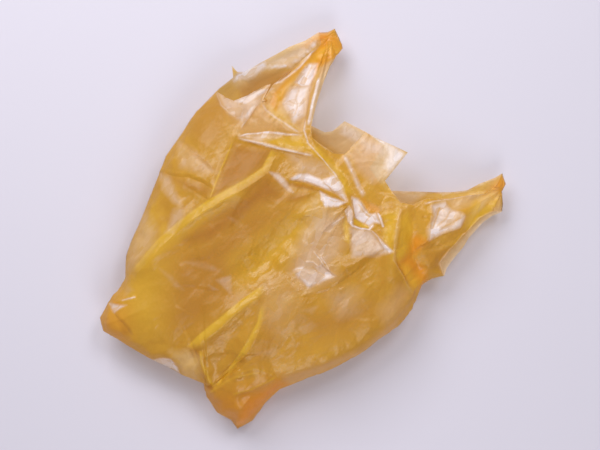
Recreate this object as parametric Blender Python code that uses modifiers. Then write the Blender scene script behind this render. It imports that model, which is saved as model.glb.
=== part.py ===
"""A plastic carrier bag with two loop handles, lying on its back and still puffed up with air.

The bag is one tube of thin film, closed by a seal across the bottom and by a short seal at the tip of each handle. Cut
flat it is 280 mm wide at the front with a 75 mm side gusset in each side, and about 530 mm long. Here it is modelled as
it lies: +X across the bag, +Y from the bottom seal to the handles, +Z up, with the origin on the surface it lies on,
in the middle of its outline. The film is drawn as one open surface, a front sheet and a back sheet that share their
side folds and seals, and a Solidify modifier gives it its wall.
"""

import math
import random

import bmesh
import bpy
from mathutils import Vector
from mathutils.bvhtree import BVHTree
from mathutils.geometry import delaunay_2d_cdt

NAME = "carrier_bag"

# The wall is thicker than the real film, so that it can be handled as a solid.
WALL = 0.0007

# The bag in plan, in metres, as it lies.
BODY_LENGTH = 0.368
SHOULDER_SPAN = 0.393
SEAL_SPAN = 0.235
HANDLE_RISE = 0.126
MOUTH_WIDTH = 0.152
STRAP_WIDTH = 0.072
TAB_WIDTH = 0.060
TAB_LENGTH = 0.043
RIGHT_SHOULDER_DROP = 0.034
TIP_WIDTH = 0.042

# Heights over the surface that the bag lies on.
CROWN_HEIGHT = 0.086
MOUTH_HEIGHT = 0.070
TIP_CROWN_HEIGHT = 0.036
SHOULDER_HEIGHT = 0.040
SEAL_CORNER_HEIGHT = 0.034
TAIL_HEIGHT = 0.013
TIP_HEIGHT = 0.026
LOOP_GAP = 0.016

# How far from a side fold the front rises to its crown, and how far the back takes to come down flat.
FRONT_SHOULDER = 0.105
BACK_SHOULDER = 0.085

# Where the crown starts to sink towards the mouth, and where the back starts to lift towards the tips, as shares of
# the body's length, with the length over which the back lifts.
SINK_START = 0.62
LIFT_START = 0.88
LIFT_LENGTH = 0.40

# The net of triangles that carries the folds, and the small dents of crumpled film between them.
FRONT_NET = 0.0115
BACK_NET = 0.0165
LINE_STEP = 0.012
NET_JITTER = 0.2
DENT_SPACING = 0.034
DENT_RISE = 0.0042
DENT_SEED = 11

# Folds and dents die out over this distance towards the bag's edge, and over this height towards the surface below.
EDGE_CALM = 0.020
GROUND_CALM = 0.012

# A fold keeps this share of its height at its two ends, and has its full height from a quarter of the way in.
FOLD_END = 0.25
FOLD_GROWTH = 3.0

FILM_COLOUR = (0.62, 0.30, 0.035, 1.0)


def spot(across, along):
    """A place in plan: across is -1 and 1 at the shoulders, along is 0 at the seal, 1 at the shoulders, 2 at the tips."""
    if along <= 1.0:
        y = along * BODY_LENGTH
    else:
        y = BODY_LENGTH + (along - 1.0) * HANDLE_RISE
    return Vector((across * SHOULDER_SPAN / 2, y, 0.0))


def at_height(place, height):
    return Vector((place.x, place.y, height))


def run(start, end, bumps=()):
    """The points from start to end, leaving out end. A bump is (share of the way, step to the left, lift)."""
    line = Vector((end.x - start.x, end.y - start.y, 0.0))
    left = Vector((-line.y, line.x, 0.0)).normalized()
    points = [start.copy()]
    for share, step, lift in bumps:
        points.append(start.lerp(end, share) + left * step + Vector((0.0, 0.0, lift)))
    return points


# The corners that the outline turns at.
seal_left = Vector((-SEAL_SPAN / 2, 0.0, SEAL_CORNER_HEIGHT))
seal_right = Vector((SEAL_SPAN / 2, 0.0, TAIL_HEIGHT))
shoulder_left = Vector((-SHOULDER_SPAN / 2, BODY_LENGTH, SHOULDER_HEIGHT))
shoulder_right = Vector((SHOULDER_SPAN / 2, BODY_LENGTH - RIGHT_SHOULDER_DROP, SHOULDER_HEIGHT))
tip_left_in = at_height(spot(-0.51, 1.89), TIP_HEIGHT)
tip_left_out = tip_left_in + Vector((-0.90, -0.06, 0.0)) * TIP_WIDTH
tip_right_in = at_height(spot(0.865, 1.96), TIP_HEIGHT)
tip_right_out = tip_right_in + Vector((0.78, -0.93, -0.05)) * TIP_WIDTH
mouth_left = Vector((-0.063, BODY_LENGTH + 0.002, MOUTH_HEIGHT))
mouth_right = mouth_left + Vector((MOUTH_WIDTH, 0.0, 0.0))
tab_left = Vector((mouth_left.x + 0.056, BODY_LENGTH + 0.010, MOUTH_HEIGHT))
tab_right = tab_left + Vector((TAB_WIDTH, 0.006, 0.0))
strap_left = mouth_left + Vector((-STRAP_WIDTH, -0.013, -0.014))
strap_right = shoulder_right + Vector((-0.016, 0.010, 0.010))

# The bottom seal, with the tuck where its right end is pushed under, and the two side folds.
bottom_seal = run(seal_left, seal_right, (
    (0.06, -0.010, 0.003), (0.20, -0.004, 0.012), (0.34, 0.002, 0.018), (0.55, 0.012, 0.020), (0.69, 0.023, 0.022),
    (0.745, 0.010, 0.014), (0.85, 0.001, 0.004), (0.94, 0.004, 0.001)))
right_side = run(seal_right, shoulder_right, (
    (0.07, -0.002, 0.004), (0.15, 0.007, 0.010), (0.23, 0.011, 0.018), (0.27, 0.008, 0.022), (0.38, -0.001, 0.022),
    (0.45, -0.008, 0.020), (0.55, -0.012, 0.018), (0.65, -0.014, 0.014), (0.74, -0.016, 0.010), (0.81, -0.010, 0.005),
    (0.87, 0.000, 0.002), (0.91, 0.008, 0.000), (0.96, 0.006, 0.000)))
left_side = run(shoulder_left, seal_left, (
    (0.035, 0.009, 0.001), (0.09, 0.000, 0.003), (0.20, -0.013, 0.005), (0.31, -0.018, 0.006), (0.39, -0.021, 0.008),
    (0.45, -0.018, 0.008), (0.545, -0.015, 0.008), (0.62, -0.012, 0.008), (0.71, -0.010, 0.008),
    (0.765, -0.007, 0.006), (0.835, 0.006, 0.004), (0.90, 0.004, 0.002), (0.935, 0.001, 0.001)))

# The handle tips, where the two straps of a handle are sealed together, crumpled.
left_tip = run(tip_left_in, tip_left_out, ((0.10, -0.004, 0.0), (0.62, -0.016, 0.002), (0.75, -0.007, 0.0)))
right_tip = run(tip_right_out, tip_right_in, ((0.21, -0.001, 0.0), (0.52, 0.001, 0.002), (0.72, -0.005, 0.0)))

# The outer folds of the straps. The gusset is cut through at the shoulders, so front and back part there.
back_strap_right = run(shoulder_right, tip_right_out, (
    (0.09, 0.004, -0.003), (0.22, 0.005, -0.005), (0.39, 0.006, -0.005), (0.51, 0.009, -0.004), (0.76, 0.009, -0.003),
    (0.88, 0.006, 0.0)))
back_strap_left = run(tip_left_out, shoulder_left, (
    (0.17, 0.004, 0.0), (0.36, 0.004, -0.002), (0.68, 0.009, -0.004), (0.90, 0.013, -0.004), (0.97, 0.010, -0.002)))
front_strap_right = run(shoulder_right, strap_right) + run(strap_right, tip_right_out, (
    (0.20, 0.006, LOOP_GAP * 0.6), (0.41, 0.010, LOOP_GAP), (0.72, 0.013, LOOP_GAP * 0.8), (0.90, 0.009, LOOP_GAP * 0.3)))
front_strap_left = run(tip_left_out, strap_left, (
    (0.10, 0.012, LOOP_GAP * 0.3), (0.25, 0.010, LOOP_GAP), (0.55, 0.004, LOOP_GAP), (0.80, -0.002, LOOP_GAP * 0.5),
)) + run(strap_left, shoulder_left, ((0.20, -0.011, 0.0), (0.50, -0.008, -0.004), (0.75, 0.001, -0.004)))

# The free edges: the mouth cut into the front with its tab, and the same cut in the back, which has slid to one side.
front_mouth = run(tip_right_in, mouth_right, (
    (0.08, 0.012, 0.0), (0.21, 0.020, 0.0), (0.41, 0.015, 0.0), (0.56, 0.013, 0.0), (0.76, 0.004, 0.0),
    (0.90, 0.007, 0.0))) + run(mouth_right, tab_right, (
    (0.49, 0.003, 0.0), (0.89, 0.004, 0.0))) + [
    tab_right + Vector((0.002, TAB_LENGTH, 0.0)), tab_left + Vector((0.028, TAB_LENGTH * 0.93, 0.0)),
    tab_left + Vector((0.002, TAB_LENGTH * 0.78, 0.0))] + run(tab_left, mouth_left, (
    (0.05, 0.006, 0.0), (0.25, 0.012, 0.0), (0.62, 0.012, 0.0), (0.86, 0.010, 0.0))) + run(mouth_left, tip_left_in, (
    (0.27, 0.004, 0.0), (0.50, 0.006, 0.0), (0.73, 0.006, 0.0), (0.88, 0.004, 0.0)))
back_mouth = run(tip_right_in, mouth_right, (
    (0.07, 0.003, 0.0), (0.22, 0.005, 0.0), (0.35, 0.009, 0.0), (0.48, 0.006, 0.0), (0.65, -0.001, 0.0),
    (0.71, -0.005, 0.0)))[:-1] + [
    Vector((0.066, BODY_LENGTH + 0.005, 0.0)), Vector((0.030, BODY_LENGTH + 0.014, 0.0)),
    Vector((0.026, BODY_LENGTH + 0.048, 0.0)), Vector((-0.004, BODY_LENGTH + 0.048, 0.0)),
    Vector((-0.036, BODY_LENGTH + 0.041, 0.0)), Vector((-0.040, BODY_LENGTH + 0.021, 0.0)),
    Vector((-0.047, BODY_LENGTH + 0.013, 0.0)), Vector((-0.068, BODY_LENGTH + 0.008, 0.0))] + [
    Vector((-0.088, BODY_LENGTH + 0.034, 0.0)), Vector((-0.101, BODY_LENGTH + 0.074, 0.0))]

# The folds of the front that show from a step away: places along the crest, height, and how wide the fold is on its
# left and on its right, walking along it. A negative height is a furrow.
FRONT_FOLDS = (
    # the two folds between front panel and gusset
    (((-0.42, 0.87), (-0.44, 0.81), (-0.47, 0.70), (-0.55, 0.56), (-0.60, 0.38), (-0.63, 0.24), (-0.62, 0.08)),
     0.010, 0.022, 0.020),
    (((0.91, 0.84), (0.90, 0.68), (0.83, 0.52), (0.74, 0.41), (0.58, 0.25), (0.43, 0.13)), 0.008, 0.012, 0.030),
    # streaks that run from the bottom tuck towards the mouth
    (((0.12, 0.48), (0.04, 0.31), (-0.02, 0.12)), 0.009, 0.016, 0.012),
    (((0.19, 0.41), (0.28, 0.24), (0.26, 0.08)), 0.008, 0.012, 0.016),
    (((0.04, 0.75), (0.01, 0.54), (-0.06, 0.41)), -0.008, 0.024, 0.024),
    (((0.03, 0.15), (0.24, 0.07)), 0.005, 0.010, 0.008),
    # the tuck: the film steps down towards the tail
    (((0.30, 0.24), (0.30, 0.09)), -0.012, 0.004, 0.034),
    # the open pleat under the left handle and the turned edge of its gusset
    (((-0.67, 0.81), (-0.60, 0.86), (-0.50, 0.90), (-0.34, 0.95)), 0.007, 0.014, 0.006),
    (((-0.67, 0.81), (-0.56, 0.84), (-0.45, 0.87), (-0.36, 0.90), (-0.12, 0.95)), 0.007, 0.006, 0.016),
    (((-0.94, 0.90), (-0.87, 0.87), (-0.80, 0.87), (-0.72, 0.90)), 0.010, 0.004, 0.030),
    (((-0.70, 0.83), (-0.63, 0.72), (-0.54, 0.58)), 0.004, 0.014, 0.014),
    # the gathers at the mouth
    (((-0.30, 0.98), (-0.08, 0.94), (0.10, 0.91), (0.21, 0.88)), 0.006, 0.008, 0.014),
    (((0.21, 0.88), (0.42, 0.92), (0.47, 0.98)), 0.006, 0.012, 0.010),
    (((0.21, 0.88), (0.37, 0.76)), 0.005, 0.012, 0.014),
    (((0.21, 0.88), (0.08, 0.78), (-0.05, 0.72)), 0.006, 0.016, 0.014),
    (((0.49, 0.99), (0.62, 0.86), (0.68, 0.82), (0.76, 0.77)), 0.009, 0.010, 0.022),
    (((0.58, 0.98), (0.73, 0.90), (0.88, 0.85)), -0.009, 0.014, 0.010),
    # the straps
    (((0.62, 1.10), (0.80, 1.22), (0.92, 1.60)), 0.006, 0.010, 0.012),
    (((-0.44, 1.00), (-0.52, 1.30), (-0.58, 1.60)), -0.006, 0.012, 0.012),
)
BACK_FOLDS = (
    (((-0.80, 0.62), (-0.66, 0.56), (-0.56, 0.50)), 0.006, 0.020, 0.020),
    (((0.84, 0.60), (0.70, 0.50), (0.58, 0.48)), 0.006, 0.020, 0.020),
    (((-0.45, 0.04), (-0.36, 0.20), (-0.30, 0.30)), 0.005, 0.018, 0.018),
    (((0.36, 0.06), (0.34, 0.18), (0.28, 0.28)), 0.005, 0.018, 0.018),
)


def nearest_on(line, place):
    """The distance in plan from place to a line of points, the nearest point there and the side it lies on."""
    best = (math.inf, line[0], 1.0, 0.0)
    for number, (start, end) in enumerate(zip(line, line[1:])):
        step = (end - start).to_2d()
        share = (place.to_2d() - start.to_2d()).dot(step) / max(step.length_squared, 1e-12)
        share = min(1.0, max(0.0, share))
        there = start.lerp(end, share)
        away = (place - there).to_2d()
        if away.length < best[0]:
            side = 1.0 if step.x * away.y - step.y * away.x >= 0.0 else -1.0
            best = (away.length, there, side, (number + share) / (len(line) - 1))
    return best


def fold_rise(folds, place):
    """The height that all folds together add at a place: each is a crest that falls away straight on both sides."""
    rise = 0.0
    for crest, height, left_reach, right_reach in folds:
        distance, there, side, share = nearest_on([spot(*p) for p in crest], place)
        reach = left_reach if side > 0.0 else right_reach
        fade = min(1.0, FOLD_END + FOLD_GROWTH * min(share, 1.0 - share))
        rise += height * fade * max(0.0, 1.0 - distance / reach)
    return rise


def dented_net(seed):
    """A net of flat triangles with random heights, which gives crumpled film its facets."""
    rng = random.Random(seed)
    reach = SHOULDER_SPAN * 0.6
    length = BODY_LENGTH + HANDLE_RISE
    count = int(2 * reach * (length + 0.1) / (DENT_SPACING ** 2))
    corners = [Vector((rng.uniform(-reach, reach), rng.uniform(-0.05, length + 0.05))) for _ in range(count)]
    corners += [Vector((x, y)) for x in (-0.5, 0.5) for y in (-0.5, 1.0)]
    places, _, faces, *_ = delaunay_2d_cdt(corners, [], [], 0, 1e-6)
    raised = [Vector((p.x, p.y, rng.uniform(-1.0, 1.0))) for p in places]
    return BVHTree.FromPolygons(raised, faces)


def dent(net, place):
    hit = net.ray_cast(Vector((place.x, place.y, 5.0)), Vector((0.0, 0.0, -1.0)))[0]
    return hit.z if hit else 0.0


def swell(distance, reach):
    """From 0 at a side fold to 1 at the crown, upright at the fold as blown-up film is."""
    share = min(1.0, distance / reach)
    return math.sqrt(1.0 - (1.0 - share) ** 2)


def ease(low, high, share):
    share = min(1.0, max(0.0, share))
    return low + (high - low) * share * share * (3.0 - 2.0 * share)


def front_crown(place):
    """The height of the front over the middle of the bag, which sinks from the body to the mouth and the tips."""
    if place.y < BODY_LENGTH:
        return ease(CROWN_HEIGHT, MOUTH_HEIGHT, (place.y / BODY_LENGTH - SINK_START) / (1.0 - SINK_START))
    return ease(MOUTH_HEIGHT, TIP_CROWN_HEIGHT, (place.y - BODY_LENGTH) / HANDLE_RISE)


def back_crown(place):
    """The height of the back there: flat on the surface, and lifted along the handles."""
    return WALL + ease(0.0, TIP_HEIGHT - LOOP_GAP / 2, (place.y / BODY_LENGTH - LIFT_START) / LIFT_LENGTH)


def front_height(place, held):
    distance, fold, *_ = nearest_on(held, place)
    crown = front_crown(place)
    settled = min(1.0, distance / EDGE_CALM)
    rise = fold_rise(FRONT_FOLDS, place) + DENT_RISE * dent(front_dents, place)
    return fold.z + (crown - fold.z) * swell(distance, FRONT_SHOULDER) + rise * settled


def back_height(place, held):
    distance, fold, *_ = nearest_on(held, place)
    crown = back_crown(place)
    base = fold.z + (crown - fold.z) * swell(distance, BACK_SHOULDER)
    free = min(1.0, (base - WALL) / GROUND_CALM) * min(1.0, distance / EDGE_CALM)
    rise = fold_rise(BACK_FOLDS, place) + DENT_RISE * abs(dent(back_dents, place))
    return base + rise * free


def stepped(points, step):
    """The same line with points no further apart than step."""
    line = []
    for start, end in zip(points, points[1:]):
        parts = max(1, round((end - start).length / step))
        line += [start.lerp(end, number / parts) for number in range(parts)]
    return line + [points[-1]]


def inside(loop, place):
    """Whether place lies inside a closed outline."""
    crossings = 0
    for a, b in zip(loop, loop[1:] + loop[:1]):
        if (a.y > place.y) != (b.y > place.y):
            crossings += place.x < a.x + (place.y - a.y) * (b.x - a.x) / (b.y - a.y)
    return crossings % 2 == 1


def net_points(loop, lines, spacing, rng):
    """Points in rows inside a closed outline, clear of the outline and of the folds."""
    borders = [loop + loop[:1]] + lines
    margin = 0.04
    row_step = math.sqrt(3.0) / 2
    rows = int((BODY_LENGTH + HANDLE_RISE + 2.5 * margin) / (spacing * row_step))
    columns = int(SHOULDER_SPAN * 1.3 / spacing)
    points = []
    for row in range(rows):
        for column in range(columns):
            x = column - columns / 2 + 0.5 * (row % 2) + rng.uniform(-NET_JITTER, NET_JITTER)
            y = row * row_step + rng.uniform(-NET_JITTER, NET_JITTER)
            place = Vector((x * spacing, y * spacing - margin, 0.0))
            if inside(loop, place) and min(nearest_on(line, place)[0] for line in borders) > spacing * 0.45:
                points.append(place)
    return points


def sheet(loop, held, folds, height_at, spacing, up, seed):
    """One sheet of the film as a mesh: its outline and folds are edges of the net, and each point gets its height."""
    film = bmesh.new()
    rng = random.Random(seed)
    lines = []
    for crest, *_ in folds:
        line = stepped([spot(*place) for place in crest], LINE_STEP)
        lines.append([p for p in line if inside(loop, p) and nearest_on(loop + loop[:1], p)[0] > LINE_STEP * 0.3])
    points = loop + net_points(loop, [line for line in lines if line], spacing, rng)
    edges = [(number, (number + 1) % len(loop)) for number in range(len(loop))]
    for line in lines:
        first = len(points)
        points += line
        edges += [(first + number, first + number + 1) for number in range(len(line) - 1)]
    places, _, faces, *_ = delaunay_2d_cdt([p.to_2d() for p in points], edges, [], 1, 1e-6)
    corners = [film.verts.new((p.x, p.y, height_at(Vector((p.x, p.y, 0.0)), held))) for p in places]
    for face in faces:
        film.faces.new([corners[number] for number in face])
    border = set(corners[:len(loop)])
    spans = [e for e in film.edges if not e.is_boundary and set(e.verts) <= border]
    split = bmesh.ops.subdivide_edges(film, edges=spans, cuts=1)
    for corner in split["geom_inner"]:
        if isinstance(corner, bmesh.types.BMVert):
            corner.co.z = height_at(Vector((corner.co.x, corner.co.y, 0.0)), held)
    for face in film.faces:
        face.normal_update()
        if (face.normal.z > 0.0) != up:
            face.normal_flip()
    mesh = bpy.data.meshes.new(NAME)
    film.to_mesh(mesh)
    film.free()
    return mesh


def film_material():
    material = bpy.data.materials.new("amber_film")
    material.use_nodes = True
    shader = material.node_tree.nodes["Principled BSDF"]
    shader.inputs["Base Color"].default_value = FILM_COLOUR
    shader.inputs["Roughness"].default_value = 0.32
    shader.inputs["Metallic"].default_value = 0.0
    return material


for old in list(bpy.data.objects):
    bpy.data.objects.remove(old)

front_dents = dented_net(DENT_SEED)
back_dents = dented_net(DENT_SEED + 1)

# Each outline is walked anticlockwise, seen from above, and its held stretches carry the heights of the folds.
joined_low = bottom_seal + right_side
front_held = stepped(joined_low + front_strap_right + right_tip + [tip_right_in], LINE_STEP)
front_free = stepped(front_mouth + [tip_left_in], LINE_STEP)
front_rest = stepped(left_tip + front_strap_left + left_side + [seal_left], LINE_STEP)
back_held = stepped(joined_low + back_strap_right + right_tip + [tip_right_in], LINE_STEP)
back_free = stepped(back_mouth + [tip_left_in], LINE_STEP)
back_rest = stepped(left_tip + back_strap_left + left_side + [seal_left], LINE_STEP)

front = sheet(front_held[:-1] + front_free[:-1] + front_rest[:-1], front_rest + front_held[1:],
              FRONT_FOLDS, front_height, FRONT_NET, True, DENT_SEED + 2)
back = sheet(back_held[:-1] + back_free[:-1] + back_rest[:-1], back_rest + back_held[1:],
             BACK_FOLDS, back_height, BACK_NET, False, DENT_SEED + 3)
film = bmesh.new()
film.from_mesh(front)
film.from_mesh(back)
bmesh.ops.remove_doubles(film, verts=film.verts, dist=0.00002)

xs = [v.co.x for v in film.verts]
ys = [v.co.y for v in film.verts]
bmesh.ops.translate(film, verts=film.verts, vec=(-(min(xs) + max(xs)) / 2, -(min(ys) + max(ys)) / 2, 0.0))
mesh = bpy.data.meshes.new(NAME)
film.to_mesh(mesh)
film.free()

bag = bpy.data.objects.new(NAME, mesh)
collection = bpy.data.collections.new("carrier_bag_parts")
bpy.context.scene.collection.children.link(collection)
collection.objects.link(bag)
mesh.materials.append(film_material())
mesh.shade_smooth()
mesh.set_sharp_from_angle(angle=math.radians(25.0))

wall = bag.modifiers.new("wall", "SOLIDIFY")
wall.thickness = WALL
wall.offset = 1.0
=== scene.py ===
# %% [markdown]
# A plastic carrier bag, lying where it was dropped.
#
# The bag is one piece of very thin film. Its solid model already has the outline, the puffed-up body, the open
# mouth and the main folds. This script makes that form look like film: it takes one skin of the solid, refines it
# until creases of a few millimetres fit in, crumples it, and gives it a material that light shines through.

import math

import bmesh
import bpy
import numpy as np
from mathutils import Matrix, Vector
from mathutils.bvhtree import BVHTree
from mathutils.geometry import delaunay_2d_cdt


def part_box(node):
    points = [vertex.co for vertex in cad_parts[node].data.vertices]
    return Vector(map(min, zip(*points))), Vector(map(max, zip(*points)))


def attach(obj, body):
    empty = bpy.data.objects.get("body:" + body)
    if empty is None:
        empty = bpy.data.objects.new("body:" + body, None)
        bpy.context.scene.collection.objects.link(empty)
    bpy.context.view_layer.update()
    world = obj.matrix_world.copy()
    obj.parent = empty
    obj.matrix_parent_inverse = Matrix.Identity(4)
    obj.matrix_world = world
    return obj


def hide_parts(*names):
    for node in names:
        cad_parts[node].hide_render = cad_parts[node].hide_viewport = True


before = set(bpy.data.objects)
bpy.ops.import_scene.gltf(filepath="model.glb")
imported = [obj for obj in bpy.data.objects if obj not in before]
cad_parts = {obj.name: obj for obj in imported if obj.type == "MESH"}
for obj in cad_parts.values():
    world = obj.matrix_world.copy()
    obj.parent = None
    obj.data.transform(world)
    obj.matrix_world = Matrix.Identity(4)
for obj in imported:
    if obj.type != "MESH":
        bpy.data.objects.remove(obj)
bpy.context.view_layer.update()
BAG_NODE = "carrier_bag"
bag_low, bag_high = (Vector(corner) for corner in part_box(BAG_NODE))
print("solid bag, millimetres:", [round(side * 1000) for side in bag_high - bag_low])

# %% [markdown]
# The photograph looks straight down on the bag, which lies askew in the picture. Rather than turn the bag, the
# camera is rolled.

# %% Camera
PHOTO_SIZE = (600, 450)
METRES_PER_PIXEL = 0.00132
ROLL = math.radians(39.77)
VIEW_CENTRE = Vector((0.0040, 0.0215, 0.0))
VIEW_DISTANCE = 1.9
EDGE_LEVEL = 0.044

right = Vector((math.cos(ROLL), math.sin(ROLL), 0.0))
upward = Vector((-math.sin(ROLL), math.cos(ROLL), 0.0))


def add_object(name, data):
    """A new object in the scene."""
    made = bpy.data.objects.new(name, data)
    bpy.context.scene.collection.objects.link(made)
    return made


camera_data = bpy.data.cameras.new("camera")
camera_data.sensor_width = 36.0
camera_data.lens = camera_data.sensor_width * VIEW_DISTANCE / (PHOTO_SIZE[0] * METRES_PER_PIXEL)
camera = add_object("camera", camera_data)
camera.location = VIEW_CENTRE + Vector((0.0, 0.0, EDGE_LEVEL + VIEW_DISTANCE))
camera.rotation_euler = (0.0, 0.0, ROLL)
bpy.context.scene.camera = camera
print("lens, millimetres:", round(camera_data.lens, 1))

# %% [markdown]
# The solid has a wall, with an outer skin, an inner skin and a narrow rim that joins them along every free edge.
# The real film is fifty times thinner, so one skin is enough, and light then passes one surface for each layer of
# film. The rim is found by its narrow side, which is exactly as long as the wall is thick. Without the rim the two
# skins come apart, and the one with the highest point is the outer one. The edges where the front meets the back
# are marked as seams, because these side folds and seals stay where they are.

# %% Take the outer skin
WALL = 0.0007
WALL_SLACK = 0.00002
WELD = 0.00001

film = bmesh.new()
film.from_mesh(bpy.data.objects[BAG_NODE].data)
bmesh.ops.remove_doubles(film, verts=film.verts, dist=WELD)
rim = {f for e in film.edges if abs(e.calc_length() - WALL) < WALL_SLACK for f in e.link_faces}
bmesh.ops.delete(film, geom=list(rim), context="FACES_ONLY")
loose = [e for e in film.edges if not e.link_faces]
bmesh.ops.delete(film, geom=loose, context="EDGES")

top = max(film.verts, key=lambda v: v.co.z)
outer = {top}
edge_of_search = [top]
while edge_of_search:
    corner = edge_of_search.pop()
    for edge in corner.link_edges:
        other = edge.other_vert(corner)
        if other not in outer:
            outer.add(other)
            edge_of_search.append(other)
bmesh.ops.delete(film, geom=[v for v in film.verts if v not in outer], context="VERTS")

film.normal_update()
for edge in film.edges:
    edge.seam = len(edge.link_faces) == 2 and edge.link_faces[0].normal.z * edge.link_faces[1].normal.z < 0.0
print("outer skin:", len(film.faces), "triangles,", sum(e.is_boundary for e in film.edges), "free edges,",
      sum(e.seam for e in film.edges), "edges on side folds and seals")

# %% [markdown]
# The camera's numbers also turn a pixel of the photograph into a place on the bag: a ray from the camera through
# the pixel ends where it meets the film. So creases and patches are given below by the pixels where the photograph
# shows them. These are the creases, each walked from one end to the other.

# %% Lines of the photograph
skin = BVHTree.FromBMesh(film)


def from_photo(pixel):
    """The place on the bag, seen from above, of a pixel of the photograph."""
    across = (pixel[0] - PHOTO_SIZE[0] / 2) * METRES_PER_PIXEL
    down = (pixel[1] - PHOTO_SIZE[1] / 2) * METRES_PER_PIXEL
    on_edge_level = VIEW_CENTRE + right * across - upward * down + Vector((0.0, 0.0, EDGE_LEVEL))
    hit = skin.ray_cast(camera.location, on_edge_level - camera.location)[0]
    place = hit or on_edge_level
    return np.array((place.x, place.y))


def photo_line(pixels):
    """The places on the bag of a row of pixels."""
    return [from_photo(pixel) for pixel in pixels]


PANEL_FOLD = ((274, 147), (263, 168), (244, 181), (222, 193), (205, 203), (180, 221), (158, 240), (143, 258),
              (129, 275))
PANEL_THREAD = ((233, 140), (226, 158), (220, 171), (214, 186), (209, 201))
PANEL_SHADE = ((180, 140), (192, 151), (206, 160), (216, 172))
EDGE_SHADE = ((160, 172), (174, 176), (188, 177), (203, 183), (214, 190))
PANEL_CREST = tuple((x + 4.0, y + 5.0) for x, y in PANEL_FOLD)
STREAK_LONG = ((265, 284), (241, 301), (221, 318), (199, 336), (186, 348))
STREAK_CREST = tuple((x + 3.5, y + 4.5) for x, y in STREAK_LONG)
STREAK_SHORT = ((262, 303), (258, 322), (250, 338), (240, 354), (229, 370), (213, 389))
SHORT_CREST = tuple((x + 3.5, y + 2.0) for x, y in STREAK_SHORT)
TUCK_LINE = ((200, 350), (201, 362), (208, 376), (214, 388))
LOW_LINE = ((277, 376), (262, 382), (250, 388), (231, 394))
LOW_LINE_TWO = ((277, 376), (266, 371), (256, 368), (240, 372))
TAIL_LINE = ((207, 394), (214, 390), (237, 377), (262, 371))
PLEAT_TOP = ((237, 137), (247, 134), (262, 133), (280, 134), (303, 135))
PLEAT_BOTTOM = ((237, 138), (250, 141), (268, 146), (290, 151), (314, 156))
HEM_OUTER = ((306, 118), (304, 130), (308, 143), (318, 154), (326, 163), (335, 174), (346, 192))
HEM_INNER = ((343, 154), (348, 163), (354, 176), (359, 188), (364, 197))
MOUTH_CORNER = ((400, 207), (398, 222), (395, 240), (393, 260), (399, 272), (406, 284), (412, 294))
RIGHT_FOLD = ((440, 262), (414, 290), (395, 318), (364, 347), (330, 359), (279, 376))
SLANT = ((313, 211), (295, 230), (265, 261), (238, 283))
STRAP_FOLD = ((319, 45), (309, 56), (299, 68), (289, 76), (280, 82), (270, 88), (262, 93))
STRAP_GROOVE = ((318, 43), (306, 55), (297, 64), (288, 72), (280, 80), (268, 85), (258, 88))
STRAP_FOOT = ((261, 101), (266, 110), (276, 118), (288, 126), (302, 134))
STRAP_LINE = ((316, 66), (313, 78), (309, 96), (306, 116), (303, 128))
STRAP_EDGE = ((319, 78), (316, 93), (312, 108), (308, 126))
GUSSET_TURN = ((217, 92), (226, 98), (234, 101), (246, 96), (259, 89))
GUSSET_RIM = ((217, 92), (221, 105), (229, 113), (241, 120))
GUSSET_FOLD = ((241, 127), (249, 117), (256, 106), (262, 100))
RIGHT_STRAP_TOP = ((421, 205), (432, 202), (450, 199), (470, 196), (490, 189))
RIGHT_STRAP_EDGE = ((396, 191), (425, 190), (450, 191), (470, 190))
STRAP_TWO = ((432, 214), (429, 228), (427, 241))
STRAP_THREE = ((464, 217), (459, 227), (443, 233), (427, 241), (412, 250))
STRAP_LOW_FOLD = ((470, 227), (455, 240), (440, 247), (420, 251))
CORNER_LINE = ((110, 303), (113, 313), (124, 325), (134, 338))
CORNER_RAY = ((111, 306), (122, 301), (136, 297))
BACK_STRAP_LINE = ((264, 67), (276, 66), (290, 65), (302, 56), (318, 40))
BACK_STRAP_DIP = ((240, 82), (258, 84), (272, 79), (290, 68), (304, 57))
STAR = (349, 205)
STAR_RIM = ((347, 212), (349, 221), (352, 226), (360, 229), (369, 230), (374, 223))
STAR_EDGE = ((377, 213), (381, 219), (384, 228))
STAR_TAIL = ((370, 230), (379, 238), (386, 246), (392, 252))
VEIL_LINES = (((312, 250), (319, 258), (324, 266), (335, 276)), ((320, 256), (326, 264), (330, 272)),
              ((304, 262), (313, 262), (320, 268)), ((316, 270), (318, 279)), ((330, 226), (337, 221), (345, 216)))

# %% [markdown]
# Each crease gets its shape in millimetres: how high it stands, or how deep it is if below zero, and how far its
# slopes reach, first the one on the left of a walk along the line, then the one on the right. Film mostly has one
# steep slope and one long one.

# %% Shapes of the creases
MM_PER_M = 1000

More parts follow.
